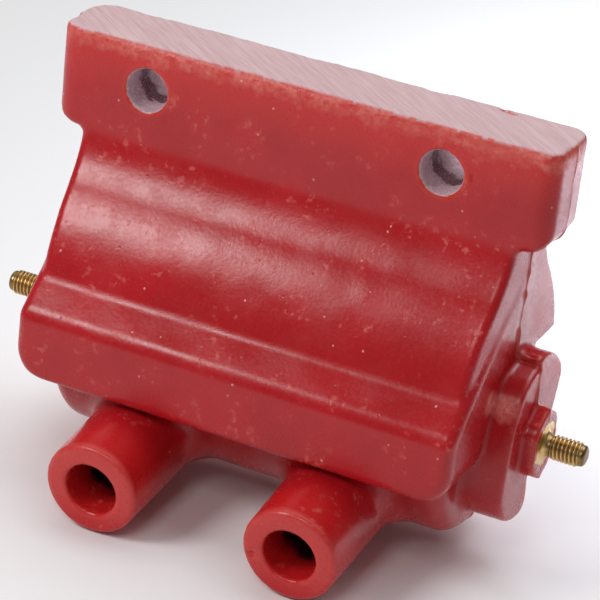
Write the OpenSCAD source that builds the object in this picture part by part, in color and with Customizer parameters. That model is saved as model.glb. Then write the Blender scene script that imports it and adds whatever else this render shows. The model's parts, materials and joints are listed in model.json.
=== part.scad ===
// Dual-output ignition coil: an epoxy casting with a drilled mounting flange, two
// primary terminal studs, two high-tension towers and a laminated coil pack inside.
// Origin: midway between the two bolt holes, on the rear mounting face of the flange.
// +X runs along the terminal studs, +Y points back into the bracket, +Z is up.

/* [Mounting flange] */
// Width of the flange along X
flange_w = 101.6; // [98:0.1:110]
// Thickness of the flange along Y
flange_t = 16; // [14:0.5:18]
// Height of the sawn top face above the bolt holes
flange_top = 8.8; // [7:0.1:12]
// Depth of the flange below the bolt holes
flange_drop = 11; // [9:0.1:12]
// Radius of the flange's upright corners
flange_corner_r = 4; // [1:0.5:6]
// Distance between the two bolt holes
bolt_spacing = 60; // [56:0.5:66]
// Diameter of the bolt holes
bolt_d = 8.5; // [6:0.1:10]
// Sideways offset of the body from the middle of the bolt holes
body_shift = 1.5; // [0:0.1:3]

/* [Body] */
// Length of the barrel along X at the parting plane
barrel_w = 90; // [88:0.5:94]
// Mould draft of the barrel's ends in front of the parting plane, in degrees
end_draft = 3.5; // [0:0.5:5]
// Radius of the barrel's bulging front and back
barrel_r = 38; // [36:0.5:40]
// Distance of each barrel arc's centre beyond the parting plane
barrel_offset = 14.7; // [13:0.1:16]
// Depth of the barrel arcs' centres below the bolt holes
barrel_drop = 46.6; // [44:0.1:48]
// Depth of the barrel's lower edge at the back
barrel_end_drop = 38; // [36:0.5:42]
// Length of the round lower body along X
lower_w = 83; // [81:0.5:86]
// Radius of the round lower body
lower_r = 21.4; // [20.5:0.1:23]
// Length of the front ledge along X
ledge_w = 89.8; // [84:0.2:90]
// Distance of the ledge's face in front of the parting plane
ledge_reach = 28; // [27:0.5:31]
// Height of the ledge's face
ledge_h = 14.5; // [12:0.5:18]
// Depth of the ledge's underside below the bolt holes
ledge_drop = 56; // [55:0.5:59]

/* [Terminals] */
// Depth of the stud axis below the bolt holes
stud_drop = 51; // [50:0.1:52]
// Radius of the end bosses
boss_r = 17.2; // [16:0.1:18]
// Thickness of the end bosses from front to back
boss_t = 31; // [28:0.5:34]
// Lean of the end bosses' back faces, in degrees
boss_lean = 18; // [0:1:25]
// Distance between the two end boss faces
boss_span = 100.6; // [98:0.2:104]
// Radius of the collars round the studs
collar_r = 7.4; // [7:0.1:9]
// Thickness of the collars from front to back
collar_t = 10.8; // [10:0.2:14]
// Distance between the two collar faces
collar_span = 106.4; // [105:0.2:110]
// Distance from stud tip to stud tip
stud_span = 123; // [120:0.5:126]
// Major diameter of the stud thread
stud_d = 4.83; // [4:0.01:5]
// Width across the flats of the stud's hexagonal base
stud_hex = 9.6; // [9:0.1:10.5]

/* [High-tension towers] */
// Distance between the tower axes
tower_spacing = 41.2; // [38:0.2:46]
// Downward tilt of the towers
tower_tilt = 7; // [0:0.5:12]
// Distance of the tower mouths in front of the mounting face
mouth_reach = 47.2; // [45:0.1:50]
// Depth of the tower mouths' centres below the bolt holes
mouth_drop = 67.5; // [66:0.1:69]
// Outer radius of a tower at its mouth
tower_r = 9.4; // [8:0.1:10]
// Radius of the plug lead socket
socket_r = 5.3; // [4:0.1:6]
// Depth of the plug lead socket
socket_depth = 24; // [18:0.5:25]

/* [Coil pack] */
// Height and width of the wound core limb
limb_size = 9.6; // [8:0.1:9.6]
// Number of laminations in the stack
lam_count = 12; // [6:1:24]
// Length of the window between the core's side legs
window_w = 56; // [54:0.5:58]
// Number of sections in the secondary bobbin
section_count = 9; // [5:1:11]

/* [Hidden] */
$fn = 96;

// General clearances
gap = 0.05;             // between a cast-in piece and the epoxy round it
eps = 0.5;              // overshoot of cutting shapes
bite = 1;               // overlap of joined shapes
reach = 400;            // length of shapes that cut right across the body

// Planes and axes
parting_y = -flange_t / 2;
axis_z = -stud_drop;

// Housing edges
barrel_edge_r = 1.5;    // rounding of the barrel's ends
ledge_end_r = 3;        // rounding of the ledge's upright ends
ledge_corner_r = 6;     // rounding of the ledge's lower corners
lower_edge_r = 3;       // rounding of the lower body's ends
boss_edge_r = 2;        // rounding of the end bosses' rims
boss_back = 11.2;       // distance of the leaning back faces behind the stud axis
boss_under_tilt = 50;   // tilt of the faces cut below the back faces
boss_under = 8.6;       // distance of those faces from the stud axis
boss_under_start = 1.9; // how far behind the stud axis they begin
collar_edge_r = 0.6;    // rounding of the collars' rims
shelf_rise = 3.6;       // height of the sloped shelf above the ledge's face
shelf_run = 4.4;        // depth of the sloped shelf
ledge_edge_r = 2.2;     // rounding of the ledge's long edges
rim_r = 1.4;            // rounding of the tower mouths
neck_h = 8;             // height of the plain wall between the flange and the barrel
tower_root_r = tower_r + 0.6;
tower_len = 30;         // from the mouth to well inside the lower body

// Studs
hex_d = stud_hex / cos(30);
hex_t = 2.8;            // thickness of the hexagonal base
neck_r = 2.05;          // plain neck next to the base
neck_len = 1.1;
tail_r = 2;             // inner tail that carries the solder lug
tail_len = 5;
stud_chamfer = 0.5;
face_x = collar_span / 2;
tip_x = stud_span / 2;

// Solder lugs and primary leads
lug_t = 0.6;
lug_r = 4;
lug_tab_w = 2.4;
lug_x = face_x - hex_t - 3.5;
wire_r = 0.6;
wire_offset = 8.9;      // distance of the primary leads behind the stud axis

// High-tension terminals and leads
ht_head_r = 4.2;
ht_head_t = 1.5;
ht_shank_r = 1.2;
ht_shank_len = 2.5;
ht_wire_r = 0.5;
lead_stretch = 1.2;     // length of the hole for the lead over the lead's own

// Core
lam_pitch = limb_size / lam_count;
lam_t = lam_pitch - gap;
leg_w = 9;              // width of the core's side legs
yoke_top = -18.5;
yoke_h = 9.5;
shim_t = 0.3;
rivet_r = 1.5;
rivet_head_r = 2.6;
rivet_head_t = 0.8;
leg_x = window_w / 2;
yoke_x = leg_x + leg_w;
rivet_x = leg_x + leg_w / 2;
rivet_zs = [yoke_top - yoke_h / 2, axis_z + 1];
leg_end_z = axis_z - limb_size / 2;

// Windings, from the limb outwards
wrap_t = 0.3;
bore_size = limb_size + 2 * wrap_t + 2 * gap;
pack_x = leg_x - 0.6;   // half length of both bobbins
primary_tube_r = 8.2;
primary_flange_r = 11.2;
primary_flange_t = 1;
primary_r = 10.9;
primary_wrap_r = 11.6;
secondary_tube_r = 12.3;
secondary_flange_r = 14.9;
secondary_flange_t = 0.8;
secondary_r = 14.5;
tape_r = 15.3;
insulator_t = 0.5;
section_pitch = (2 * pack_x - secondary_flange_t) / section_count;
end_section_x = (section_count - 1) / 2 * section_pitch;

// Tower axis, pointing from the mouth back into the body
function along_tower(side, depth) = [side * tower_spacing / 2,
    -mouth_reach + depth * cos(tower_tilt), -mouth_drop + depth * sin(tower_tilt)];

// Where the high-tension lead ends, just clear of the winding
shank_end = socket_depth + ht_head_t + ht_shank_len;
function radial(point) = let (v = [0, point[1] - parting_y, point[2] - axis_z]) v / norm(v);
function lead_end(side) = [side * end_section_x, parting_y, axis_z]
    + (secondary_r + eps) * radial(along_tower(side, shank_end));

// ---- Helpers ----

// Extrudes a YZ outline along X, centred on the body
module along_x(length) {
    rotate([90, 0, 90]) linear_extrude(length, center = true) children();
}

// Moves children to the stud axis with their Z axis along +X
module on_axis() {
    translate([0, parting_y, axis_z]) rotate([0, 90, 0]) children();
}

// A ring on the stud axis, from -x to +x
module axis_ring(outer_r, inner_r, x) {
    on_axis() difference() {
        cylinder(r = outer_r, h = 2 * x, center = true);
        cylinder(r = inner_r, h = 2 * x + 2 * eps, center = true);
    }
}

// A round rod between two points
module rod(from, to, r) {
    v = to - from;
    translate(from) rotate([0, acos(v[2] / norm(v)), atan2(v[1], v[0])]) cylinder(r = r, h = norm(v));
}

// A rectangle with round corners, centred on the origin
module round_rect(w, h, r) {
    for (sx = [-1, 1], sy = [-1, 1]) translate([sx * (w / 2 - r), sy * (h / 2 - r)]) circle(r);
    square([w - 2 * r, h], center = true);
    square([w, h - 2 * r], center = true);
}

// ---- Housing ----

module flange_plate() {
    height = flange_top + flange_drop;
    mid_z = (flange_top - flange_drop) / 2;
    intersection() {
        translate([0, parting_y, mid_z]) linear_extrude(height, center = true)
            round_rect(flange_w, flange_t, flange_corner_r);
        translate([0, 0, mid_z + flange_corner_r]) rotate([90, 0, 0])
            linear_extrude(4 * flange_t, center = true)
            round_rect(flange_w, height + 2 * flange_corner_r, flange_corner_r);
    }
}

// Lens-shaped section where the front and back arcs of the barrel cross
module barrel_outline() {
    intersection() {
        translate([parting_y + barrel_offset, -barrel_drop]) circle(barrel_r, $fn = 180);
        translate([parting_y - barrel_offset, -barrel_drop]) circle(barrel_r, $fn = 180);
        translate([parting_y - barrel_r, -barrel_end_drop]) square([2 * barrel_r, barrel_r]);
    }
    translate([-flange_t, -flange_drop - neck_h]) square([flange_t, neck_h + eps]);
}

// Plan view of the barrel, whose ends taper in front of the parting plane
module barrel_plan() {
    depth = 2 * barrel_offset;
    narrow = barrel_w / 2 - depth * tan(end_draft);
    translate([0, parting_y]) polygon([[barrel_w / 2, 0], [barrel_w / 2, depth],
        [-barrel_w / 2, depth], [-barrel_w / 2, 0], [-narrow, -depth], [narrow, -depth]]);
}

module barrel() {
    intersection() {
        along_x(barrel_w) barrel_outline();
        linear_extrude(reach, center = true) barrel_plan();
        translate([0, parting_y]) linear_extrude(reach, center = true)
            round_rect(barrel_w, 3 * barrel_offset, barrel_edge_r);
    }
}

module ledge_outline() {
    face_y = parting_y - ledge_reach;
    face_z = -ledge_drop + ledge_h;
    for (z = [face_z - ledge_edge_r, -ledge_drop + ledge_edge_r])
        translate([face_y + ledge_edge_r, z]) circle(ledge_edge_r);
    translate([face_y, -ledge_drop + ledge_edge_r])
        square([bite + ledge_edge_r, ledge_h - 2 * ledge_edge_r]);
    translate([face_y + ledge_edge_r, -ledge_drop]) square([ledge_reach - ledge_edge_r, ledge_h]);
    polygon([[face_y + ledge_edge_r, face_z], [face_y + ledge_edge_r + shelf_run, face_z + shelf_rise],
        [parting_y, face_z + shelf_rise], [parting_y, face_z]]);
}

module ledge() {
    intersection() {
        along_x(ledge_w) ledge_outline();
        translate([0, parting_y]) linear_extrude(reach, center = true)
            round_rect(ledge_w, 2 * ledge_reach, ledge_end_r);
        translate([0, 0, -ledge_drop + barrel_r]) rotate([90, 0, 0]) linear_extrude(reach, center = true)
            round_rect(ledge_w, 2 * barrel_r, ledge_corner_r);
    }
}

// A round body on the stud axis with rounded rims
module drum(r, x, rim) {
    on_axis() rotate_extrude() {
        translate([r - rim, x - rim]) circle(rim);
        translate([r - rim, rim - x]) circle(rim);
        translate([0, -x]) square([r - rim, 2 * x]);
        translate([0, rim - x]) square([r, 2 * (x - rim)]);
    }
}

// A drum whose front and back are cut flat, t apart
module flat_sided_drum(r, x, rim, t) {
    intersection() {
        drum(r, x, rim);
        translate([0, parting_y, axis_z]) cube([4 * x, t, 4 * r], center = true);
    }
}

// A block that fills the space behind the upright plane through the X axis
module behind_plane() {
    translate([-boss_span, 0, -2 * boss_r]) cube([2 * boss_span, 2 * boss_r, 4 * boss_r]);
}

// The blocks that carry the studs; their backs lean in towards the bottom and are cut away below
module end_bosses() {
    difference() {
        flat_sided_drum(boss_r, boss_span / 2, boss_edge_r, boss_t);
        translate([0, parting_y + boss_back, axis_z]) rotate([-boss_lean, 0, 0]) behind_plane();
        translate([0, parting_y, axis_z]) intersection() {
            translate([0, boss_under_start, 0]) behind_plane();
            rotate([-boss_under_tilt, 0, 0]) translate([0, boss_under, 0]) behind_plane();
        }
    }
}

// Places children with their Z axis running from a tower's mouth into the body
module at_tower(side, depth) {
    translate(along_tower(side, depth)) rotate([tower_tilt - 90, 0, 0]) children();
}

module tower(side) {
    at_tower(side, 0) rotate_extrude() {
        translate([tower_r - rim_r, rim_r]) circle(rim_r);
        polygon([[0, 0], [tower_r - rim_r, 0], [tower_r, rim_r],
            [tower_root_r, tower_len], [0, tower_len]]);
    }
}

// Space taken up in the epoxy by the core, its rivets and the windings
module pack_space() {
    stack_y = limb_size + 2 * gap;
    half = yoke_x + gap;
    translate([-half, parting_y - stack_y / 2, yoke_top - yoke_h - gap])
        cube([2 * half, stack_y, yoke_h + 2 * gap]);
    for (side = [-1, 1]) {
        translate([side * (leg_x + leg_w / 2), parting_y, (yoke_top + leg_end_z) / 2])
            cube([leg_w + 2 * gap, stack_y, yoke_top - leg_end_z + 2 * gap], center = true);
        for (z = rivet_zs) translate([side * rivet_x, parting_y, z]) rotate([90, 0, 0])
            cylinder(r = rivet_head_r + gap, h = limb_size + 2 * rivet_head_t + 2 * gap, center = true);
    }
    axis_ring(tape_r + gap, 0, leg_x);
}

module terminal_space(side) {
    mirror([side < 0 ? 1 : 0, 0, 0]) {
        translate([0, parting_y, axis_z]) rotate([0, 90, 0]) {
            translate([0, 0, face_x - hex_t - gap]) cylinder(d = hex_d + 2 * gap, h = stud_span, $fn = 6);
            translate([0, 0, face_x - hex_t - tail_len - gap])
                cylinder(r = tail_r + gap, h = tail_len + bite);
        }
        translate([lug_x - gap, 0, 0]) lug_outline(lug_t + 2 * gap, gap);
        rod([pack_x, parting_y + wire_offset, axis_z],
            [lug_x + bite, parting_y + wire_offset, axis_z], wire_r + gap);
    }
}

module housing() {
    color("firebrick") difference() {
        union() {
            translate([body_shift, 0, 0]) {
                flange_plate();
                barrel();
                ledge();
                drum(lower_r, lower_w / 2, lower_edge_r);
                end_bosses();
                flat_sided_drum(collar_r, face_x, collar_edge_r, collar_t);
                for (side = [-1, 1]) tower(side);
            }
        }
        for (side = [-1, 1]) translate([side * bolt_spacing / 2, 0, 0]) rotate([90, 0, 0])
            cylinder(d = bolt_d, h = 4 * flange_t, center = true);
        translate([body_shift, 0, 0]) {
            pack_space();
            for (side = [-1, 1]) {
                terminal_space(side);
                at_tower(side, -eps) cylinder(r = socket_r, h = socket_depth + eps);
                ht_terminal_shape(side, gap);
                ht_lead_shape(side, gap);
            }
        }
    }
}

// ---- Terminals and leads ----

module terminal_stud(side) {
    color("darkgoldenrod") translate([body_shift, 0, 0]) mirror([side < 0 ? 1 : 0, 0, 0])
        translate([0, parting_y, axis_z]) rotate([0, 90, 0]) {
            translate([0, 0, face_x - hex_t]) cylinder(d = hex_d, h = hex_t, $fn = 6);
            translate([0, 0, face_x - hex_t - tail_len]) cylinder(r = tail_r, h = tail_len + bite);
            translate([0, 0, face_x - bite]) cylinder(r = neck_r, h = neck_len + bite + stud_chamfer);
            translate([0, 0, face_x + neck_len]) rotate_extrude() polygon([[0, 0], [neck_r, 0],
                [stud_d / 2, stud_d / 2 - neck_r], [stud_d / 2, tip_x - face_x - neck_len - stud_chamfer],
                [stud_d / 2 - stud_chamfer, tip_x - face_x - neck_len], [0, tip_x - face_x - neck_len]]);
        }
}

// A ring with a round-ended tab behind it, lying in the YZ plane from X = 0
module lug_outline(t, grow) {
    translate([0, parting_y, axis_z]) {
        rotate([0, 90, 0]) cylinder(r = lug_r + grow, h = t);
        translate([0, 0, -lug_tab_w / 2 - grow]) cube([t, wire_offset, lug_tab_w + 2 * grow]);
        translate([0, wire_offset, 0]) rotate([0, 90, 0]) cylinder(r = lug_tab_w / 2 + grow, h = t);
    }
}

module solder_lug(side) {
    color("goldenrod") translate([body_shift, 0, 0]) mirror([side < 0 ? 1 : 0, 0, 0]) difference() {
        translate([lug_x, 0, 0]) lug_outline(lug_t, 0);
        on_axis() cylinder(r = tail_r + gap, h = stud_span);
        rod([lug_x - bite, parting_y + wire_offset, axis_z],
            [lug_x + 2 * bite, parting_y + wire_offset, axis_z], wire_r + gap);
    }
}

module primary_lead(side) {
    color("peru") translate([body_shift, 0, 0]) mirror([side < 0 ? 1 : 0, 0, 0])
        rod([pack_x - primary_flange_t + gap, parting_y + wire_offset, axis_z],
            [lug_x + bite - gap, parting_y + wire_offset, axis_z], wire_r);
}

module ht_terminal_shape(side, grow) {
    at_tower(side, socket_depth - (grow > 0 ? eps : 0))
        cylinder(r = ht_head_r + grow, h = ht_head_t + grow + (grow > 0 ? eps : 0));
    at_tower(side, socket_depth + ht_head_t - eps)
        cylinder(r = ht_shank_r + grow, h = ht_shank_len + eps + grow);
}

module ht_terminal(side) {
    color("goldenrod") translate([body_shift, 0, 0]) ht_terminal_shape(side, 0);
}

// Straight wire from a tower's terminal to the end section of the winding
module ht_lead_shape(side, grow, stretch = 1) {
    start = along_tower(side, shank_end);
    rod(start, start + stretch * (lead_end(side) - start), ht_wire_r + grow);
}

module ht_lead(side) {
    color("orangered") translate([body_shift, 0, 0]) ht_lead_shape(side, 0);
}

// ---- Laminated core ----

// Centre of lamination number i along Y
function lam_y(i) = parting_y + (i - (lam_count - 1) / 2) * lam_pitch;

// One plate of the core, cut from an XZ outline
module plate(y) {
    translate([0, y, 0]) rotate([90, 0, 0]) linear_extrude(lam_t, center = true) children();
}

module core_limb() {
    color("dimgray") translate([body_shift, 0, 0]) for (i = [0 : lam_count - 1])
        plate(lam_y(i)) translate([0, axis_z]) square([window_w - 2 * shim_t, limb_size], center = true);
}

module yoke_outline() {
    difference() {
        translate([-yoke_x, leg_end_z]) square([2 * yoke_x, yoke_top - leg_end_z]);
        translate([-leg_x, leg_end_z - eps]) square([window_w, yoke_top - yoke_h - leg_end_z + eps]);
        for (x = [-rivet_x, rivet_x], z = rivet_zs) translate([x, z]) circle(rivet_r + gap, $fn = 48);
    }
}

module core_yoke() {
    color("dimgray") translate([body_shift, 0, 0]) for (i = [0 : lam_count - 1])
        plate(lam_y(i)) yoke_outline();
}

module core_rivets() {
    color("silver") translate([body_shift, 0, 0]) for (x = [-rivet_x, rivet_x], z = rivet_zs)
        translate([x, parting_y, z]) rotate([90, 0, 0]) {
            cylinder(r = rivet_r, h = limb_size + rivet_head_t, center = true, $fn = 48);
            for (end = [-1, 1]) translate([0, 0, end * (limb_size + rivet_head_t) / 2])
                cylinder(r = rivet_head_r, h = rivet_head_t, center = true, $fn = 48);
        }
}

module gap_shim(side) {
    color("tan") translate([body_shift + side * (leg_x - shim_t / 2), parting_y, axis_z])
        cube([shim_t, limb_size, limb_size], center = true);
}

// ---- Windings ----

// The square hole that the wrapped limb passes through
module limb_bore(size) {
    translate([0, parting_y, axis_z]) cube([2 * window_w, size, size], center = true);
}

module core_wrap() {
    side = limb_size + 2 * wrap_t;
    color("burlywood") translate([body_shift, 0, 0]) difference() {
        translate([0, parting_y, axis_z]) cube([2 * pack_x, side, side], center = true);
        limb_bore(limb_size);
    }
}

module primary_bobbin() {
    color("ivory") translate([body_shift, 0, 0]) difference() {
        union() {
            axis_ring(primary_tube_r, 0, pack_x);
            for (end = [-1, 1]) translate([end * (pack_x - primary_flange_t / 2), 0, 0])
                axis_ring(primary_flange_r, 0, primary_flange_t / 2);
        }
        limb_bore(bore_size);
        for (end = [-1, 1]) translate([end * pack_x, parting_y + wire_offset, axis_z]) rotate([0, 90, 0])
            cylinder(r = wire_r + gap, h = 3 * primary_flange_t, center = true);
    }
}

module primary_winding() {
    color("sienna") translate([body_shift, 0, 0])
        axis_ring(primary_r, primary_tube_r + gap, pack_x - primary_flange_t - gap);
}

module primary_wrap() {
    color("wheat") translate([body_shift, 0, 0])
        axis_ring(primary_wrap_r, primary_flange_r + gap, pack_x);
}

module secondary_bobbin() {
    color("ivory") translate([body_shift, 0, 0]) {
        axis_ring(secondary_tube_r, primary_wrap_r + gap, pack_x);
        for (i = [0 : section_count])
            translate([(i - section_count / 2) * section_pitch, 0, 0])
                axis_ring(secondary_flange_r, secondary_tube_r - gap, secondary_flange_t / 2);
    }
}

module secondary_winding() {
    color("chocolate") translate([body_shift, 0, 0]) for (i = [0 : section_count - 1])
        translate([(i - (section_count - 1) / 2) * section_pitch, 0, 0])
            axis_ring(secondary_r, secondary_tube_r + gap, (section_pitch - secondary_flange_t) / 2 - gap);
}

module secondary_tape() {
    color("khaki") translate([body_shift, 0, 0]) difference() {
        axis_ring(tape_r, secondary_flange_r + gap, pack_x);
        for (side = [-1, 1]) ht_lead_shape(side, gap, lead_stretch);
    }
}

module end_insulator(side) {
    color("tan") translate([body_shift, 0, 0]) difference() {
        translate([side * (pack_x + gap + insulator_t / 2), 0, 0]) axis_ring(tape_r, 0, insulator_t / 2);
        limb_bore(limb_size + 2 * gap);
        translate([side * pack_x, parting_y + wire_offset, axis_z]) rotate([0, 90, 0])
            cylinder(r = wire_r + gap, h = 4 * insulator_t, center = true);
    }
}

housing();
terminal_stud(-1);  // left_terminal_stud
terminal_stud(1);  // right_terminal_stud
solder_lug(-1);  // left_solder_lug
solder_lug(1);  // right_solder_lug
primary_lead(-1);  // left_primary_lead
primary_lead(1);  // right_primary_lead
ht_terminal(-1);  // left_ht_terminal
ht_terminal(1);  // right_ht_terminal
ht_lead(-1);  // left_ht_lead
ht_lead(1);  // right_ht_lead
core_limb();
core_yoke();
gap_shim(-1);  // left_gap_shim
gap_shim(1);  // right_gap_shim
core_rivets();
core_wrap();
primary_bobbin();
primary_winding();
primary_wrap();
secondary_bobbin();
secondary_winding();
secondary_tape();
end_insulator(-1);  // left_end_insulator
end_insulator(1);  // right_end_insulator
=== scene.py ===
import json
import math

import bpy
import numpy as np
from mathutils import Matrix, Vector


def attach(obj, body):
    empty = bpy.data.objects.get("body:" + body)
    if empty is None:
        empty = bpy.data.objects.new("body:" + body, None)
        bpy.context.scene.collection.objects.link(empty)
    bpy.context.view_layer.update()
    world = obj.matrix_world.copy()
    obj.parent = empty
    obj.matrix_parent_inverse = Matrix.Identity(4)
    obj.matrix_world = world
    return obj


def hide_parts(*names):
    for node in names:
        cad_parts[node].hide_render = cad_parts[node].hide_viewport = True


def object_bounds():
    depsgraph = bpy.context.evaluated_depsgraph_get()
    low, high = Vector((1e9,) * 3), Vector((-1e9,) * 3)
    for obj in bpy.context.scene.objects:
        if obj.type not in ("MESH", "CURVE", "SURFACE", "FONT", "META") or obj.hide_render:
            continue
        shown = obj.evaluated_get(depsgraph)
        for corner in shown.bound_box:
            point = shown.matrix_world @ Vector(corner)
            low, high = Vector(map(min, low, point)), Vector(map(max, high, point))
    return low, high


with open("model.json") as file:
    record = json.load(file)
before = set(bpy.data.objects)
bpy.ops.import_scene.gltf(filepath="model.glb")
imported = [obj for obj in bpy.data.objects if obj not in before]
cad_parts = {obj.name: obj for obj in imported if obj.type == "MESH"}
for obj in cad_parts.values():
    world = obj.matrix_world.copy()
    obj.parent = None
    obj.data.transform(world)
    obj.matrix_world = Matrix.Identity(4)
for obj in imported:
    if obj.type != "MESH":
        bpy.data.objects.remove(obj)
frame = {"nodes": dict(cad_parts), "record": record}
cad_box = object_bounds()

MM = 0.001

# ---------------------------------------------------------------- sizes, in millimetres
# The body is modelled about its own middle, which sits BODY_SHIFT beside the row's origin.
BODY_SHIFT = 1.5
PARTING_Y = -8.0
AXIS_Z = -51.0

# Flange
FLANGE_HALF_W = 50.8
FLANGE_T = 16.0
FLANGE_TOP = 8.8
FLANGE_BOTTOM = -11.0
FLANGE_PLAN_R = 4.2
FLANGE_FRONT_R = 4.5
FLANGE_DRAFT = 0.06
CORNER_CUT = 3.2
MOULD_TOP_RISE = 1.2
HOLE_R = 4.25
HOLE_HALF_SPACING = 30.0
HOLE_EDGE_R = 0.12

# Plate that the flange and the neck below it are cut from
PLATE_MIDDLE_Z = 10.0
PLATE_HALF_H = 35.0
ABOVE_ALL_Z = 40.0

# Barrel: two arcs that meet in a lens, with ends that taper towards the front
BARREL_HALF_W = 45.0
BARREL_R = 38.0
BARREL_OFFSET = 14.7
BARREL_Z = -46.6
BARREL_LOW_Z = -38.0
BARREL_TAPER = math.tan(math.radians(3.5))
NECK_FILLET = 5.0
BODY_EDGE_R = 1.7

# Ledge along the front
LEDGE_HALF_W = 44.9
LEDGE_FACE_Y = -36.0
LEDGE_LOW_Z = -56.0
LEDGE_TOP_Z = 20.0
LEDGE_LIP = (-34.3, -40.4)
LEDGE_CORNER = (-30.3, -36.7)
LEDGE_LIP_R = 1.5
LEDGE_EDGE_R = 2.4
LEDGE_CORNER_R = 7.0

# Round lower body
LOWER_R = 21.4
LOWER_HALF_W = 41.4
LOWER_EDGE_R = 4.0

# End bosses. A flat is its tilt in degrees, its distance from the stud axis and its edge radius.
BOSS_FACE_X = 50.2
BOSS_FLAT_REACH = 14.7
BOSS_FLAT_TILTS = (42, -16)
BOSS_OTHER_FLATS = ((75, 14.7, 2.5), (-60, 16.0, 4.0), (-97, 16.2, 2.5))
BOSS_REAR_R = 16.9
BOSS_BACK = 11.2
BOSS_LEAN = math.radians(18)
BOSS_UNDERCUT = (-50, 8.6, 2.0)
BOSS_RIM_R = 0.9

# Collars round the studs
COLLAR_FACE_X = 53.2
COLLAR_HALF_T = 5.6
COLLAR_REACH = 6.5
COLLAR_LAP_START_R = 3.5

# Towers
TOWER_HALF_SPACING = 20.6
TOWER_TILT = math.radians(7.0)
MOUTH_Y = -47.2
MOUTH_Z = -67.5
MOUTH_RIM_R = 0.9
TOWER_R = 9.4
TOWER_LEN = 30.0
TOWER_GROWTH = 0.6
SOCKET_R = 5.3
SOCKET_DEPTH = 24.0
SOCKET_EDGE_R = 0.6

# Fillets where the shapes run into each other
TOWER_FILLET = 4.0
BODY_FILLET = 2.0
BOSS_FILLET = 1.4
COLLAR_FILLET = 0.6
LEDGE_FILLET = 0.5

FLASH_WIDTH = 0.26
FLASH_TINT_WIDTH = 0.3

# Studs, measured outwards from the body's middle
TAIL_START_X = 45.4
TAIL_R = 2.0
HEX_START_X = 50.4
HEX_HALF_W = 4.8
HEX_CHAMFER = 0.3
NECK_FOOT_R = 3.6
NECK_LEN = 1.4
NECK_R = 2.05
STUD_R = 2.415
THREAD_ROOT_R = 1.98
THREAD_PITCH = 0.794
THREAD_START_X = 55.0
THREAD_END_X = 60.2
THREAD_RUNOUT = 0.3
TIP_START_X = 60.55
STUD_TIP_X = 61.5

# Casting dents, as x, y, z and radius of the ball that makes each.
DENTS = (
    (34.3, -16.2, 0.7, 0.6),
    (33.4, -1.2, 9.2, 0.9),
    (34.6, -1.4, 9.2, 0.9),
    (35.8, -1.6, 9.2, 0.9),
    (-22.0, -46.4, -62.0, 0.6),
    (13.2, -46.9, -69.6, 0.7),
)
# Middle of the chips in the rear edge, where the grid is finer.
CHIPS_X = 34.6

# Middle of the rubbed patch on the right-hand boss, painted paler as a highlight, in the row frame.
RUBBED_HIGHLIGHT_AT = (49.0, -18.9, -40.5)


# ---------------------------------------------------------------- distance functions
def carve(a, b, r):
    """Intersection of two distances with a convex edge of radius r."""
    return np.minimum(-r, np.maximum(a, b)) + np.hypot(np.maximum(r + a, 0), np.maximum(r + b, 0))


def join(a, b, r):
    """Union of two distances with a concave fillet of radius r."""
    return np.maximum(r, np.minimum(a, b)) - np.hypot(np.maximum(r - a, 0), np.maximum(r - b, 0))


def rectangle(u, v, half_u, half_v, r):
    """Distance to a rectangle with round corners."""
    qu = np.abs(u) - (half_u - r)
    qv = np.abs(v) - (half_v - r)
    outside = np.hypot(np.maximum(qu, 0), np.maximum(qv, 0))
    return outside + np.minimum(np.maximum(qu, qv), 0) - r


def half_plane(u, v, start, end):
    """Distance to the half plane on the right of the line from start to end."""
    du, dv = end[0] - start[0], end[1] - start[1]
    return ((v - start[1]) * du - (u - start[0]) * dv) / math.hypot(du, dv)


def fade(t):
    """Smooth step from 0 to 1."""
    return t * t * (3 - 2 * t)


def lumps(x, y, z, size, seed):
    """Smooth noise from -1 to 1 with features about size apart."""
    cells = 32
    table = np.random.default_rng(seed).uniform(-1, 1, (cells,) * 3)
    total = 0.0
    parts = []
    for c in (x, y, z):
        c = c / size + 1000.0
        base = np.floor(c)
        parts.append((base.astype(int), fade(c - base)))
    for corner in np.ndindex(2, 2, 2):
        index = tuple((p[0] + k) % cells for p, k in zip(parts, corner))
        weight = 1.0
        for (_, t), k in zip(parts, corner):
            weight = weight * (t if k else 1 - t)
        total = total + weight * table[index]
    return total


# ---------------------------------------------------------------- the cast housing
def upper_body(x, y, z):
    """Flange and barrel: a T-shaped front outline crossed with their common section."""
    front = np.hypot(y - PARTING_Y - BARREL_OFFSET, z - BARREL_Z) - BARREL_R
    back = np.hypot(y - PARTING_Y + BARREL_OFFSET, z - BARREL_Z) - BARREL_R
    lens = carve(np.maximum(front, back), BARREL_LOW_Z - z, 1.5)
    plate = rectangle(y - PARTING_Y, z - PLATE_MIDDLE_Z, FLANGE_T / 2, PLATE_HALF_H, 0.5)
    section = join(lens, plate, NECK_FILLET)
    half_w = BARREL_HALF_W - np.maximum(PARTING_Y - y, 0) * BARREL_TAPER
    stem = np.abs(x) - half_w
    wide = rectangle(x, z - ABOVE_ALL_Z, FLANGE_HALF_W - FLANGE_DRAFT * np.abs(y - PARTING_Y),
                     ABOVE_ALL_Z - FLANGE_BOTTOM, FLANGE_FRONT_R)
    block = carve(join(wide, stem, 1.5), section, BODY_EDGE_R)
    plan = rectangle(x, y - PARTING_Y, FLANGE_HALF_W, FLANGE_T / 2, FLANGE_PLAN_R)
    block = np.where(np.abs(x) > half_w + 1, np.maximum(block, plan), block)
    return mould_top(x, y, z, cut_corner(x, y, z, block))


def cut_corner(x, y, z, block):
    """Takes the uneven cut off the flange's left rear corner."""
    corner = (y - x - FLANGE_HALF_W + CORNER_CUT) / math.sqrt(2) + 0.7 * lumps(x, y, z, 3.0, 12)
    return np.where(z > FLANGE_BOTTOM, carve(block, corner, 1.2), block)


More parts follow.
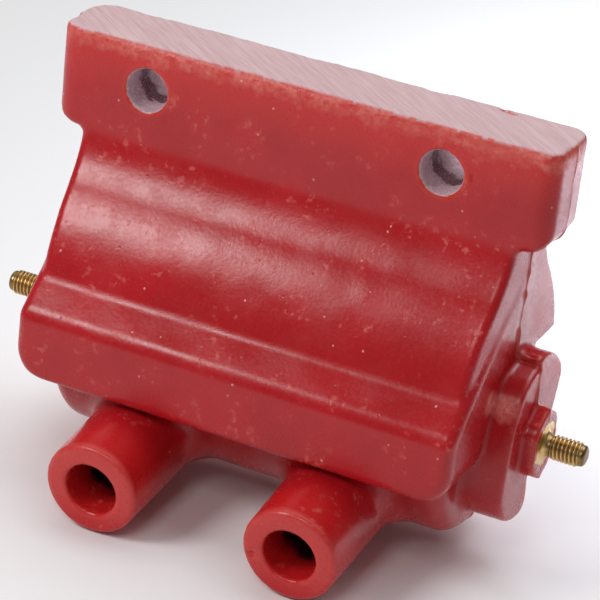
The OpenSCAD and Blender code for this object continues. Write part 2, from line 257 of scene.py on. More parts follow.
def mould_top(x, y, z, block):
    """Ends the block in the lumpy surface of the poured resin, most of which the saw then removes."""
    waves = 0.7 * lumps(x, y, z, 5.0, 11) + 0.25 * lumps(x, y, z, 1.7, 13)
    return carve(block, z - FLANGE_TOP - MOULD_TOP_RISE + waves, 3.0)


def ledge(x, y, z):
    """The block along the front, with a sloped top."""
    slope = half_plane(y, z, LEDGE_LIP, LEDGE_CORNER)
    section = carve(LEDGE_FACE_Y - y, slope, LEDGE_LIP_R)
    section = carve(section, LEDGE_LOW_Z - z, LEDGE_EDGE_R)
    section = np.maximum(section, y - PARTING_Y)
    outline = rectangle(x, z - LEDGE_TOP_Z, LEDGE_HALF_W, LEDGE_TOP_Z - LEDGE_LOW_Z, LEDGE_CORNER_R)
    return carve(section, outline, LEDGE_EDGE_R)


def lower_body(x, y, z):
    """The round body on the stud axis."""
    radial = np.hypot(y - PARTING_Y, z - AXIS_Z) - LOWER_R
    return carve(radial, np.abs(x) - LOWER_HALF_W, LOWER_EDGE_R)


def facet(v, w, tilt):
    """Distance along the direction raised tilt degrees from straight ahead."""
    return w * math.sin(math.radians(tilt)) - v * math.cos(math.radians(tilt))


def end_boss(x, y, z):
    """The front half is cut in flats; the rear half is rounder, a step higher and cut away below."""
    v, w = y - PARTING_Y, z - AXIS_Z
    low = fade(np.clip(-w / 12, 0, 1))
    front = carve(facet(v, w, BOSS_FLAT_TILTS[0]), facet(v, w, BOSS_FLAT_TILTS[1]), 1.6) - BOSS_FLAT_REACH
    for tilt, distance, edge_r in BOSS_OTHER_FLATS:
        front = carve(front, facet(v, w, tilt) - distance, edge_r)
    front = carve(front, v - 0.8 - 2.0 * low, 0.2 + 2.2 * low)
    back = (v - BOSS_BACK) * math.cos(BOSS_LEAN) - w * math.sin(BOSS_LEAN)
    rear = carve(np.hypot(v, w) - BOSS_REAR_R, back, 2.5)
    tilt, distance, edge_r = BOSS_UNDERCUT
    rear = carve(rear, facet(-v, w, tilt) - distance, edge_r)
    section = np.minimum(front, carve(rear, -v, 1.2))
    return carve(section, np.abs(x) - BOSS_FACE_X, BOSS_RIM_R)


def collar(x, y, z):
    """Its face stops just short of the stud's base, and laps over the base further out."""
    v, w = np.abs(y - PARTING_Y), np.abs(z - AXIS_Z)
    section = carve(v - COLLAR_HALF_T, v * 0.5 + w * math.cos(math.radians(30)) - COLLAR_REACH, 1.8)
    lap = 0.36 * fade(np.clip((np.hypot(v, w) - COLLAR_LAP_START_R) / 0.9, 0, 1)) - 0.24
    face = np.abs(x) - COLLAR_FACE_X - lap + 0.11 * lumps(x, y, z, 1.4, 7)
    return carve(section, face, 0.5)


def flash_height(x, z):
    """How far the parting line stands out, from 0 to 1: less on the collars and below the studs."""
    below = fade(np.clip((AXIS_Z - 4.0 - z) / 4.0, 0, 1)) * (np.abs(x) > LOWER_HALF_W + 2)
    return np.where(np.abs(x) > BOSS_FACE_X + 0.6, 0.3, 1.0) * (1 - 0.85 * below)


def along_tower(x, y, z):
    """Distance behind the mouth's plane, and distance from the axis, of the nearer tower."""
    dy, dz = y - MOUTH_Y, z - MOUTH_Z
    depth = dy * math.cos(TOWER_TILT) + dz * math.sin(TOWER_TILT)
    across = dz * math.cos(TOWER_TILT) - dy * math.sin(TOWER_TILT)
    return depth, np.hypot(np.abs(x) - TOWER_HALF_SPACING, across)


def tower(depth, radial):
    """A slightly conical tower, from its mouth back into the body."""
    outer = radial - TOWER_R - TOWER_GROWTH * depth / TOWER_LEN
    return np.maximum(carve(outer, -depth, MOUTH_RIM_R), depth - TOWER_LEN)


def socket(depth, radial):
    """The space that a plug lead goes into."""
    return np.maximum(radial - SOCKET_R, depth - SOCKET_DEPTH)


def bolt_hole(x, z):
    """Distance to the nearer bolt hole; the holes are spaced about the row's origin."""
    gap = np.minimum(np.hypot(x + BODY_SHIFT - HOLE_HALF_SPACING, z),
                     np.hypot(x + BODY_SHIFT + HOLE_HALF_SPACING, z))
    return gap - HOLE_R


def cast_solid(x, y, z, depth, radial):
    """The poured body, before the saw and the drill."""
    solid = join(lower_body(x, y, z), tower(depth, radial), TOWER_FILLET)
    solid = join(solid, upper_body(x, y, z), BODY_FILLET)
    solid = join(solid, end_boss(x, y, z), BOSS_FILLET)
    solid = join(solid, collar(x, y, z), COLLAR_FILLET)
    solid = join(solid, ledge(x, y, z), LEDGE_FILLET)
    solid = solid + 0.07 * lumps(x, y, z, 11.0, 1) + 0.04 * lumps(x, y, z, 4.0, 2)
    ragged = (0.30 + 0.34 * lumps(x, y, z, 1.5, 3)) * flash_height(x, z)
    return solid - ragged * np.exp(-((y - PARTING_Y) / FLASH_WIDTH) ** 2)


def housing_distance(x, y, z):
    """Signed distance to the housing's surface about the body's middle."""
    depth, radial = along_tower(x, y, z)
    solid = cast_solid(x, y, z, depth, radial)
    solid = carve(solid, z - FLANGE_TOP + 0.04 * lumps(x, y, z, 2.0, 8), 0.15)
    for dent_x, dent_y, dent_z, size in DENTS:
        gap = np.sqrt((x - dent_x) ** 2 + (y - dent_y) ** 2 + (z - dent_z) ** 2)
        solid = np.maximum(solid, size - gap)
    solid = carve(solid, -bolt_hole(x, z), HOLE_EDGE_R)
    return carve(solid, -socket(depth, radial), SOCKET_EDGE_R)


def spaced(low, high, step, fine):
    """Grid lines step apart, and closer within each (centre, reach, step) of fine."""
    lines = [low]
    while lines[-1] < high:
        gaps = [near[2] for near in fine if abs(lines[-1] - near[0]) < near[1]]
        lines.append(lines[-1] + min(gaps + [step]))
    return np.array(lines)


def surface_net(distance, lines):
    """Vertices and quads of the surface where distance is zero, one vertex per cell it crosses."""
    value = distance(lines[0][:, None, None], lines[1][None, :, None], lines[2][None, None, :])
    inside = value < 0
    corners = [inside[tuple(slice(k, n - 1 + k) for k, n in zip(c, inside.shape))]
               for c in np.ndindex(2, 2, 2)]
    count = sum(c.astype(np.int8) for c in corners)
    cells = np.argwhere((count > 0) & (count < 8))
    ids = np.full(tuple(n - 1 for n in inside.shape), -1)
    ids[tuple(cells.T)] = np.arange(len(cells))
    points = np.zeros((len(cells), 3))
    hits = np.zeros(len(cells))
    for axis in range(3):
        for other in np.ndindex(2, 2):
            start = cells.copy()
            start[:, (axis + 1) % 3] += other[0]
            start[:, (axis + 2) % 3] += other[1]
            end = start.copy()
            end[:, axis] += 1
            a, b = value[tuple(start.T)], value[tuple(end.T)]
            crossed = (a < 0) != (b < 0)
            t = np.where(crossed, a / np.where(crossed, a - b, 1), 0)
            place = np.stack([lines[k][start[:, k]] for k in range(3)], 1)
            place[:, axis] += t * (lines[axis][end[:, axis]] - lines[axis][start[:, axis]])
            points += place * crossed[:, None]
            hits += crossed
    points /= hits[:, None]
    quads = []
    for axis in range(3):
        u, v = (axis + 1) % 3, (axis + 2) % 3
        low = [slice(None)] * 3
        high = [slice(None)] * 3
        low[axis], high[axis] = slice(None, -1), slice(1, None)
        edges = np.argwhere(inside[tuple(low)] != inside[tuple(high)])
        outward = inside[tuple(edges.T)]
        step_u, step_v = np.eye(3, dtype=int)[u], np.eye(3, dtype=int)[v]
        ring = [ids[tuple((edges - a * step_u - b * step_v).T)]
                for a, b in ((1, 1), (0, 1), (0, 0), (1, 0))]
        ring = np.stack(ring, 1)
        quads.append(np.where(outward[:, None], ring, ring[:, ::-1]))
    return points, np.concatenate(quads)


def gradient(distance, points, h=0.04):
    """Slope of distance at each point."""
    steps = np.eye(3) * h
    rise = [distance(*(points + s).T) - distance(*(points - s).T) for s in steps]
    return np.stack(rise, 1) / (2 * h)


def settle(distance, points, reach):
    """Moves points onto the zero surface, no further than reach."""
    start = points.copy()
    for _ in range(4):
        slope = gradient(distance, points)
        size = np.maximum((slope ** 2).sum(1), 0.05)
        points = points - (distance(*points.T) / size)[:, None] * slope
        moved = points - start
        length = np.maximum(np.linalg.norm(moved, axis=1), 1e-9)
        points = start + moved * np.minimum(1, reach / length)[:, None]
    return points


def mesh_object(name, points, faces):
    """Object from points in millimetres in the row frame; its four-sided faces are shaded smooth."""
    mesh = bpy.data.meshes.new(name)
    mesh.from_pydata((points * MM).tolist(), [], faces)
    mesh.validate()
    mesh.polygons.foreach_set("use_smooth", [polygon.loop_total == 4 for polygon in mesh.polygons])
    obj = bpy.data.objects.new(name, mesh)
    bpy.context.scene.collection.objects.link(obj)
    return obj


def point_attribute(obj, name, values):
    layer = obj.data.attributes.new(name, "FLOAT", "POINT")
    layer.data.foreach_set("value", np.asarray(values, np.float32))


def housing_grid(cell):
    """Grid lines along X, Y and Z, closer together at the boss faces, the flash and the saw cut."""
    boss = [(side * BOSS_FACE_X, 1.2, 0.35) for side in (-1, 1)]
    return [
        spaced(-55.5, 55.5, cell, boss + [(CHIPS_X, 2.2, 0.3)]),
        spaced(-49.5, 17.5, cell, [(PARTING_Y, 0.7, 0.14)]),
        spaced(-79.0, 10.2, cell, [(FLANGE_TOP, 0.5, 0.2)]),
    ]


def build_housing():
    """The casting's surface, with a value from 0 to 1 at each point for each kind of finish and for the
    painted glow and painted shade.
    """
    cell = 0.66
    points, quads = surface_net(housing_distance, housing_grid(cell))
    points = settle(housing_distance, points, 0.6 * cell)
    normal = gradient(housing_distance, points)
    normal /= np.maximum(np.linalg.norm(normal, axis=1), 1e-6)[:, None]
    reach = 1.2
    buried = housing_distance(*(points - reach * normal).T)
    above = housing_distance(*(points + reach * normal).T)
    x, y, z = points.T
    depth, radial = along_tower(x, y, z)
    obj = mesh_object("cast_housing", points + [BODY_SHIFT, 0, 0], quads.tolist())
    # Painted glow: this value is higher on convex edges and stands in for light shining through the thin
    # resin there.
    point_attribute(obj, "edge_glow", np.clip((reach + buried) / reach, 0, 1))
    # Painted shade: this value is higher where the surface is hollow or creased.
    point_attribute(obj, "hollow_shade", np.clip((reach - above) / reach, 0, 1))
    point_attribute(obj, "sawn", np.clip((z - FLANGE_TOP + 0.32) / 0.12, 0, 1) * (normal[:, 2] > 0.5))
    # Painted shade: near black deep inside the sockets, from about 7.5 mm in.
    socket_shade = np.clip((depth - 7.5 + 1.2 * lumps(x, y, z, 1.5, 9)) / 1.5, 0, 1)
    point_attribute(obj, "socket", socket_shade * (radial < SOCKET_R + 0.3) * (depth < SOCKET_DEPTH + 0.5))
    flash = np.exp(-((y - PARTING_Y) / FLASH_TINT_WIDTH) ** 2) * flash_height(x, z)
    point_attribute(obj, "flash", flash * (normal[:, 1] > -0.8))
    return obj


# ---------------------------------------------------------------- the terminal studs
def base_rings(angle):
    """The tail inside the resin, the hexagonal base and the flared neck."""
    ring = np.ones(len(angle))
    flat = (angle + math.pi / 6) % (math.pi / 3) - math.pi / 6
    hexagon = HEX_HALF_W / np.cos(flat)
    rings = [(TAIL_START_X, (TAIL_R - 0.3) * ring), (TAIL_START_X + 0.3, TAIL_R * ring)]
    rings += [(HEX_START_X, TAIL_R * ring), (HEX_START_X, hexagon)]
    rings += [(COLLAR_FACE_X - HEX_CHAMFER, hexagon), (COLLAR_FACE_X, np.minimum(hexagon, 5.0) - 0.25)]
    for t in np.linspace(0, 1, 9):
        flare = (NECK_FOOT_R - NECK_R) * math.sqrt(t * (2 - t))
        rings.append((COLLAR_FACE_X + NECK_LEN * t, (NECK_FOOT_R - flare) * ring))
    return rings


def thread_rings(angle):
    """A single-start thread that grows out of the neck and fades out before the tip."""
    rings = []
    for x in np.arange(THREAD_START_X - THREAD_RUNOUT, THREAD_END_X + THREAD_RUNOUT, THREAD_PITCH / 8):
        phase = (x / THREAD_PITCH - angle / (2 * math.pi)) % 1.0
        ridge = fade(np.clip(1.35 - 2.7 * np.abs(phase - 0.5), 0, 1))
        from_end = min(x - THREAD_START_X, THREAD_END_X - x) + THREAD_RUNOUT
        grow = np.clip(from_end / 0.5, 0, 1)
        root = NECK_R - (NECK_R - THREAD_ROOT_R) * grow
        rings.append((x, root + (STUD_R - THREAD_ROOT_R) * ridge * grow))
    return rings


def tip_rings(angle):
    """The rounded tip."""
    ring = np.ones(len(angle))
    return [(TIP_START_X + (STUD_TIP_X - TIP_START_X) * t, (NECK_R - 0.75 * t ** 4) * ring)
            for t in np.linspace(0, 1, 8)]


def build_stud(name, side):
    """One brass stud, made of rings of points round the stud axis."""
    sides = 96
    angle = np.arange(sides) * 2 * math.pi / sides
    rings = base_rings(angle) + thread_rings(angle) + tip_rings(angle)
    along = np.repeat(np.array([ring[0] for ring in rings])[:, None], sides, 1)
    radius = np.stack([ring[1] for ring in rings])
    local = np.stack([along, radius * np.cos(angle), radius * np.sin(angle)], 2).reshape(-1, 3)
    points = local * [side, side, 1] + [BODY_SHIFT, PARTING_Y, AXIS_Z]
    start = np.arange(len(rings) - 1)[:, None] * sides
    first = start + np.arange(sides)
    after = start + (np.arange(sides) + 1) % sides
    faces = np.stack([first, after, after + sides, first + sides], 2).reshape(-1, 4).tolist()
    last = (len(rings) - 1) * sides
    faces.append(list(range(sides))[::-1])
    faces.append(list(range(last, last + sides)))
    obj = mesh_object(name, points, faces)
    point_attribute(obj, "radius", radius.ravel())
    return obj


# ---------------------------------------------------------------- materials
class Recipe:
    """A node material with one Principled shader, built up by short calls."""

    def __init__(self, name, **sockets):
        self.material = bpy.data.materials.new(name)
        self.material.use_nodes = True
        self.tree = self.material.node_tree
        self.shader = self.tree.nodes["Principled BSDF"]
        for socket_name, value in sockets.items():
            self.shader.inputs[socket_name.replace("_", " ")].default_value = value
        self.place = self.add("ShaderNodeTexCoord").outputs["Object"]

    def add(self, kind, links=None, **settings):
        node = self.tree.nodes.new(kind)
        for key, value in settings.items():
            setattr(node, key, value)
        for key, value in (links or {}).items():
            self.put(node.inputs[key], value)
        return node

    def put(self, socket_in, value):
        if isinstance(value, bpy.types.NodeSocket):
            self.tree.links.new(value, socket_in)
        elif isinstance(value, (tuple, list)) and len(value) == 3 and socket_in.type == "RGBA":
            socket_in.default_value = (*value, 1.0)
        else:
            socket_in.default_value = value

    def noise(self, size_mm, detail=3.0, place=None):
        links = {"Vector": place or self.place, "Scale": 1 / (size_mm * MM), "Detail": detail}
        links["Roughness"] = 0.55
        return self.add("ShaderNodeTexNoise", links).outputs["Fac"]

    def drawn_out(self, times, turn):
        """Coordinates that draw a texture out along one line across the top."""
        links = {"Vector": self.place, "Scale": (times, 1.0, 1.0), "Rotation": (0.0, 0.0, turn)}
        return self.add("ShaderNodeMapping", links, vector_type="TEXTURE").outputs["Vector"]

    def attribute(self, name):
        return self.add("ShaderNodeAttribute", attribute_name=name).outputs["Fac"]

    def math(self, operation, a, b=0.0, clamp=False):
        node = self.add("ShaderNodeMath", {0: a, 1: b}, operation=operation, use_clamp=clamp)
        return node.outputs[0]

    def ramp(self, value, low, high, out_low=0.0, out_high=1.0):
        links = {"Value": value, "From Min": low, "From Max": high, "To Min": out_low, "To Max": out_high}
        node = self.add("ShaderNodeMapRange", links, clamp=True)
        return node.outputs["Result"]

    def blend(self, factor, a, b):
        node = self.add("ShaderNodeMix", data_type="RGBA")
        self.put(node.inputs[0], factor)
        self.put(node.inputs[6], a)
        self.put(node.inputs[7], b)
        return node.outputs[2]

    def bump(self, height, depth_mm, strength=1.0, under=None):
        links = {"Height": height, "Distance": depth_mm * MM, "Strength": strength}
        if under is not None:
            links["Normal"] = under
        return self.add("ShaderNodeBump", links).outputs["Normal"]

    def finish(self, color=None, rough=None, normal=None):
        for socket_name, value in (("Base Color", color), ("Roughness", rough), ("Normal", normal)):
            if value is not None:
                self.put(self.shader.inputs[socket_name], value)
        return self.material


def spots(m, spacing_mm, radius, channel, rarity):
    """Small round spots, one in some of the cells of a scattered grid."""
    cells = m.add("ShaderNodeTexVoronoi", {"Vector": m.place, "Scale": 1 / (spacing_mm * MM)}).outputs
    pick = m.add("ShaderNodeSeparateColor", {0: cells["Color"]}).outputs[channel]
    return m.math("MULTIPLY", m.ramp(cells["Distance"], *radius, 1.0, 0.0), m.ramp(pick, *rarity))


def mould_skin(m, axes, sawn):
    """Rough skin where the resin met the open top of the mould, with a ragged lower edge."""
    edge = m.math("ADD", axes["Z"], m.math("MULTIPLY", m.noise(3.2, 5.0), 6.5 * MM))
    return m.math("MULTIPLY", m.ramp(edge, 8.3 * MM, 10.2 * MM), m.math("SUBTRACT", 1.0, sawn))


def dull_places(m, axes, crust):
    """Frosted skin, scuffs and the tower mouths."""
    frost = m.math("MULTIPLY", crust, m.ramp(m.noise(1.9, 4.0), 0.36, 0.60, 0.3, 1.0))
    scuffs = m.math("MULTIPLY", m.ramp(m.noise(1.4, 5.0), 0.57, 0.66), m.ramp(m.noise(7.0, 2.0), 0.5, 0.62))
    mouths = m.ramp(axes["Y"], (MOUTH_Y + 0.9) * MM, (MOUTH_Y + 0.3) * MM, 0.0, 0.25)
    return m.math("MAXIMUM", m.math("MAXIMUM", frost, mouths), m.math("MULTIPLY", scuffs, 0.7))


def rubbed_highlight_patch(m):
    """One worn, frosted patch on the front of the right-hand boss, painted paler as a highlight."""
    middle = tuple(c * MM for c in RUBBED_HIGHLIGHT_AT)
    away = m.add("ShaderNodeVectorMath", {0: m.place, 1: middle}, operation="DISTANCE").outputs["Value"]
    uneven = m.math("ADD", away, m.math("MULTIPLY", m.noise(1.2, 4.0), 2.5 * MM))
    return m.ramp(uneven, 5.2 * MM, 3.4 * MM)


def resin_color(m, axes, grain, dull, speck, pit):
    """Red resin: painted shade in hollows and deep in the sockets, a painted glow on edges, painted light
    towards the top and on the towers, and paler where it is worn, with a worn patch on the right-hand boss
    painted paler still as a highlight.
    """
    red = m.blend(m.ramp(m.noise(14.0, 2.0), 0.35, 0.65), (0.40, 0.0065, 0.010), (0.46, 0.009, 0.014))
    # Painted shade: darker red in hollows and creases.
    red = m.blend(m.math("MULTIPLY", m.attribute("hollow_shade"), 0.5), red, (0.32, 0.005, 0.012))
    # Painted glow: paler orange on convex edges.
    red = m.blend(m.ramp(m.attribute("edge_glow"), 0.08, 0.6, 0.0, 0.7), red, (0.57, 0.040, 0.020))
    # Painted light: paler red towards the top of the flange, where more light falls.
    red = m.blend(m.ramp(axes["Z"], -2 * MM, 7 * MM, 0.0, 0.8), red, (0.58, 0.020, 0.016))
    # Painted light: the towers are made paler red, in place of light that the body above keeps off them.
    red = m.blend(m.ramp(axes["Y"], -36.5 * MM, -43 * MM, 0.0, 0.65), red, (0.60, 0.014, 0.015))
    red = m.blend(m.ramp(m.attribute("flash"), 0.35, 0.95, 0.0, 0.85), red, (0.40, 0.075, 0.045))
    red = m.blend(m.math("MULTIPLY", dull, m.ramp(grain, 0.3, 0.7, 0.35, 0.95)), red, (0.68, 0.16, 0.125))
    # A rubbed patch painted pale: partly wear, partly a painted highlight.
    worn_highlight = m.math("MULTIPLY", rubbed_highlight_patch(m), m.ramp(grain, 0.35, 0.6, 0.4, 1.0))
    red = m.blend(worn_highlight, red, (0.86, 0.27, 0.23))
    red = m.blend(m.math("MULTIPLY", speck, 0.75), red, (0.80, 0.42, 0.34))
    red = m.blend(m.math("MULTIPLY", pit, 0.7), red, (0.22, 0.006, 0.010))
    # Painted shade: near black deep in the sockets.
    inside = m.math("MULTIPLY", m.attribute("socket"), m.ramp(grain, 0.3, 0.7, 0.9, 1.0))
    return m.blend(inside, red, (0.020, 0.003, 0.004))


def saw_marks(m):
    """Scratches left by the saw across the top, fine and broad, at nearly one slant."""
    fine = m.noise(0.26, 2.0, m.drawn_out(30.0, math.radians(-39)))
    broad = m.noise(1.1, 2.0, m.drawn_out(25.0, math.radians(-41)))
    return m.math("ADD", m.math("MULTIPLY", fine, 0.6), m.math("MULTIPLY", broad, 0.4))


def in_bolt_holes(m, axes, grain):
    """1 on the walls of the drilled holes, 0 elsewhere."""
    across = m.math("SUBTRACT", m.math("ABSOLUTE", axes["X"]), HOLE_HALF_SPACING * MM)
    radial = m.math("SQRT", m.math("ADD", m.math("MULTIPLY", across, across),
                                   m.math("MULTIPLY", axes["Z"], axes["Z"])))
    uneven = m.math("ADD", radial, m.math("MULTIPLY", grain, 0.12 * MM))
    return m.ramp(uneven, (HOLE_R + 0.15) * MM, (HOLE_R + 0.25) * MM, 1.0, 0.0)


def bore_color(m, axes, grain):
    """Pale drilled walls, with a dark broken band part way through: dark flash left by the mould, and
    painted shade.
    """
    ragged = m.math("ADD", axes["Y"], m.math("MULTIPLY", m.noise(1.6, 5.0), 5.0 * MM))
    # The band is dark flash with painted shade; the step that would cast the shade is not modelled.
    band = m.math("MULTIPLY", m.ramp(ragged, -8.2 * MM, -7.7 * MM), m.ramp(ragged, -3.4 * MM, -4.6 * MM))
    dust = m.blend(m.ramp(grain, 0.35, 0.7), (0.52, 0.31, 0.36), (0.76, 0.60, 0.64))
    broken = m.blend(m.ramp(m.noise(0.22, 2.0), 0.5, 0.62), (0.12, 0.018, 0.035), (0.50, 0.30, 0.34))
    return m.blend(band, dust, broken)


def epoxy_material(name):
    """The cast resin with its sawn top, drilled holes, sockets, flash, wear, and painted light and shade.
    """
    m = Recipe(name, IOR=1.5, Specular_IOR_Level=0.43)
    axes = m.add("ShaderNodeSeparateXYZ", {0: m.place}).outputs
    grain = m.noise(0.6, 3.0)
    patches = m.math("MULTIPLY", m.ramp(m.noise(9.0, 4.0), 0.46, 0.60), 0.3)
    sawn = m.attribute("sawn")
    crust = mould_skin(m, axes, sawn)
    dull = dull_places(m, axes, crust)
    speck = spots(m, 3.2, (0.05, 0.085), 0, (0.55, 0.60))
    pit = spots(m, 2.9, (0.05, 0.10), 1, (0.68, 0.72))
    marks = saw_marks(m)
    bore = in_bolt_holes(m, axes, grain)

    red = resin_color(m, axes, grain, dull, speck, pit)
    pale = m.blend(m.ramp(marks, 0.38, 0.62), (0.56, 0.35, 0.37), (0.69, 0.49, 0.50))
    color = m.blend(bore, m.blend(sawn, red, pale), bore_color(m, axes, grain))

    gloss = m.ramp(m.math("ADD", grain, patches), 0.35, 1.0, 0.21, 0.36)
    rough = m.math("ADD", gloss, m.math("MULTIPLY", m.math("MAXIMUM", sawn, bore), 0.35), clamp=True)
    rough = m.math("ADD", rough, m.math("MULTIPLY", dull, 0.2), clamp=True)

    relief = m.bump(m.noise(1.6, 3.0), 0.022)
    skin = m.math("MULTIPLY", grain, m.ramp(m.math("ADD", patches, dull), 0, 1, 0.4, 1.4))
    relief = m.bump(skin, 0.042, under=relief)
    relief = m.bump(m.math("SUBTRACT", speck, pit), 0.03, under=relief)
    relief = m.bump(m.math("MULTIPLY", crust, m.noise(1.3, 3.0)), 0.35, under=relief)
    relief = m.bump(m.math("MULTIPLY", marks, sawn), 0.06, under=relief)
    return m.finish(color, rough, relief)


def metal_material(name, light, dark, rough, grime=None):
    """Mottled metal; grime, where given, fills the roots of the thread."""
    m = Recipe(name, Metallic=1.0)
    mottled = m.noise(1.1, 4.0)
    color = m.blend(m.ramp(mottled, 0.4, 0.7), light, dark)
    if grime:
        color = m.blend(m.ramp(m.attribute("radius"), 1.95, 2.3, 0.85, 0.0), color, grime)
    roughness = m.ramp(m.noise(0.5, 3.0), 0.3, 0.7, rough - 0.08, rough + 0.12)
    return m.finish(color, roughness, m.bump(m.noise(0.3, 3.0), 0.015))


def plain_material(name, light, dark, rough, size_mm, depth_mm, coat=0.0):
    """Paper, board, plastic or film with a mottled surface."""
    m = Recipe(name, Coat_Weight=coat)
    mottled = m.noise(size_mm, 4.0)
    color = m.blend(m.ramp(mottled, 0.35, 0.65), light, dark)
    roughness = m.ramp(m.noise(size_mm * 0.5, 3.0), 0.3, 0.7, rough - 0.06, rough + 0.08)
    return m.finish(color, roughness, m.bump(mottled, depth_mm))


def bands(m, pitch_mm, direction, distortion):
    """Even stripes pitch_mm apart, from 0 to 1."""
    links = {"Vector": m.place, "Scale": 0.314 / (pitch_mm * MM), "Distortion": distortion}
    return m.add("ShaderNodeTexWave", links, bands_direction=direction).outputs["Fac"]


def wound_material(name, light, dark, pitch_mm):
    """Fine turns of enamelled wire, laid side by side along X."""
    m = Recipe(name, Coat_Weight=0.5)
    turns = bands(m, pitch_mm, "X", 0.4)
    color = m.blend(m.math("MULTIPLY", turns, m.noise(3.0)), dark, light)
    return m.finish(color, m.ramp(m.noise(1.0), 0.3, 0.7, 0.25, 0.4), m.bump(turns, pitch_mm * 0.4))


def layered_material(name, light, dark, rough, pitch_mm):
    """Steel laminations stacked along Y."""
    m = Recipe(name, Metallic=0.9)
    layers = bands(m, pitch_mm, "Y", 0.6)
    color = m.blend(m.math("MULTIPLY", layers, m.noise(2.0)), dark, light)
    roughness = m.ramp(m.noise(1.2), 0.3, 0.7, rough - 0.08, rough + 0.1)
    return m.finish(color, roughness, m.bump(layers, 0.05))


def make_materials():
    """Every material by its slot's name; all but the resin start with a light and a dark shade."""
    looks = {
        "red_epoxy": (epoxy_material,),
        "stud_brass": (metal_material, (0.66, 0.46, 0.19), (0.48, 0.30, 0.10), 0.33, (0.10, 0.055, 0.02)),
        "lug_brass": (metal_material, (0.74, 0.54, 0.24), (0.60, 0.40, 0.15), 0.30),
        "copper_lead": (metal_material, (0.76, 0.42, 0.26), (0.60, 0.30, 0.17), 0.28),
        "rivet_steel": (metal_material, (0.62, 0.62, 0.64), (0.46, 0.46, 0.48), 0.36),
        "core_steel": (layered_material, (0.34, 0.34, 0.36), (0.16, 0.16, 0.18), 0.42, 0.8),
        "enamelled_wire": (wound_material, (0.55, 0.20, 0.07), (0.22, 0.06, 0.02), 0.55),
        "fine_winding": (wound_material, (0.60, 0.27, 0.10), (0.30, 0.10, 0.03), 0.12),
        "lead_insulation": (plain_material, (0.75, 0.30, 0.12), (0.62, 0.22, 0.08), 0.45, 1.0, 0.02),
        "kraft_paper": (plain_material, (0.62, 0.47, 0.30), (0.50, 0.36, 0.21), 0.75, 0.6, 0.03),
        "pressboard": (plain_material, (0.56, 0.43, 0.27), (0.44, 0.32, 0.19), 0.7, 0.8, 0.03),
        "bobbin_plastic": (plain_material, (0.84, 0.80, 0.70), (0.76, 0.71, 0.60), 0.4, 2.0, 0.01),
        "polyester_tape": (plain_material, (0.76, 0.62, 0.22), (0.66, 0.52, 0.16), 0.25, 1.5, 0.01, 0.4),
    }
    return {name: make(name, *shades) for name, (make, *shades) in looks.items()}


def paint(obj, material):
    """Gives the object this one material."""
    obj.data.materials.clear()
    obj.data.materials.append(material)


# ---------------------------------------------------------------- light, floor and camera
def aim(obj, target):
    """Turns a light to face target."""
    obj.rotation_euler = (Vector(target) - obj.location).to_track_quat("-Z", "Y").to_euler()


def softbox(name, place, target, size, power, color=(1.0, 1.0, 1.0), shape="RECTANGLE"):
    light = bpy.data.lights.new(name, "AREA")
    light.shape = shape
    light.size, light.size_y = size
    light.energy = power
    light.color = color
    obj = bpy.data.objects.new(name, light)
    obj.location = place
    bpy.context.scene.collection.objects.link(obj)
    aim(obj, target)
    return obj


def build_floor(level):
    """A wide pale floor."""
    half = 3.0
    mesh = bpy.data.meshes.new("floor")
    corners = [(-half, -half, level), (half, -half, level), (half, half, level), (-half, half, level)]
    mesh.from_pydata(corners, [], [(0, 1, 2, 3)])
    floor = bpy.data.objects.new("floor", mesh)
    bpy.context.scene.collection.objects.link(floor)
    m = Recipe("floor", Roughness=0.9)
    paint(floor, m.finish(m.blend(m.noise(300.0, 2.0), (0.93, 0.93, 0.94), (0.95, 0.95, 0.95))))
    return floor


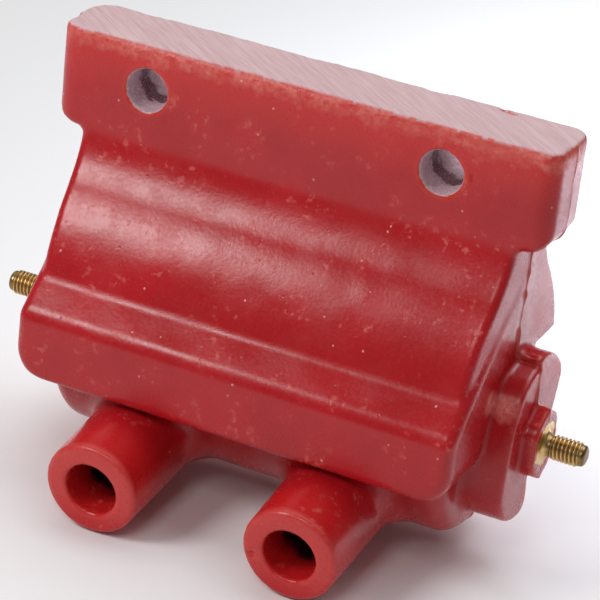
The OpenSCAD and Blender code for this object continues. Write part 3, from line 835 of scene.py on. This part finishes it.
def build_lights():
    """Places in metres: a small key at the upper left, fill in front, and light for the floor."""
    world = bpy.data.worlds.new("studio")
    world.use_nodes = True
    background = world.node_tree.nodes["Background"]
    background.inputs["Color"].default_value = (0.96, 0.97, 1.0, 1.0)
    background.inputs["Strength"].default_value = 0.17
    bpy.context.scene.world = world
    softbox("key", (-0.214, -0.276, 0.229), (0.0, -0.03, -0.035), (0.155, 0.155), 0.74, shape="DISK")
    softbox("front", (0.05, -0.38, 0.30), (0.03, -0.02, -0.05), (0.14, 0.14), 0.38)
    softbox("ceiling", (0.05, 0.62, 0.75), (0.05, 0.60, 0.0), (1.5, 1.4), 8.4)
    glow = softbox("floor_glow", (0.14, 0.21, 0.24), (0.14, 0.20, cad_box[0].z), (0.24, 0.20), 0.46,
                   color=(0.82, 0.86, 1.0))
    glow.data.spread = math.radians(70)


def build_camera():
    """Looks down on the front from its right, turned a little; distances in millimetres."""
    azimuth = math.radians(22.622)
    elevation = math.radians(25.381)
    roll = math.radians(6.577)
    distance, offset_right, offset_up = 541.125, 6.5046, 36.0653
    towards = Vector((math.sin(azimuth) * math.cos(elevation),
                      -math.cos(azimuth) * math.cos(elevation), math.sin(elevation)))
    level_right = Vector((math.cos(azimuth), math.sin(azimuth), 0))
    level_up = towards.cross(level_right)
    right = math.cos(roll) * level_right + math.sin(roll) * level_up
    up = math.cos(roll) * level_up - math.sin(roll) * level_right
    place = distance * towards - offset_right * right - offset_up * up + Vector((BODY_SHIFT, 0, 0))
    turn = Matrix((right, up, towards)).transposed().to_4x4()
    data = bpy.data.cameras.new("camera")
    data.sensor_width = 36.0
    data.lens = 173.414
    data.clip_start = 0.01
    camera = bpy.data.objects.new("camera", data)
    camera.matrix_world = Matrix.Translation(place * MM) @ turn
    bpy.context.scene.collection.objects.link(camera)
    bpy.context.scene.camera = camera


# ---------------------------------------------------------------- the scene
build_camera()
build_lights()
bpy.context.scene.view_settings.view_transform = "Standard"

materials = make_materials()

housing = build_housing()
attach(housing, "root")
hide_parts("housing")
paint(housing, materials["red_epoxy"])

for side_name, side in (("left", -1), ("right", 1)):
    stud = build_stud(side_name + "_threaded_stud", side)
    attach(stud, "root")
    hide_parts(side_name + "_terminal_stud")
    paint(stud, materials["stud_brass"])

slot_of = {part["node"]: part["material_slot"] for part in frame["record"]["subparts"]}
for node_name, obj in frame["nodes"].items():
    paint(obj, materials[slot_of[node_name]])

build_floor((cad_box[0].z - 0.0005))
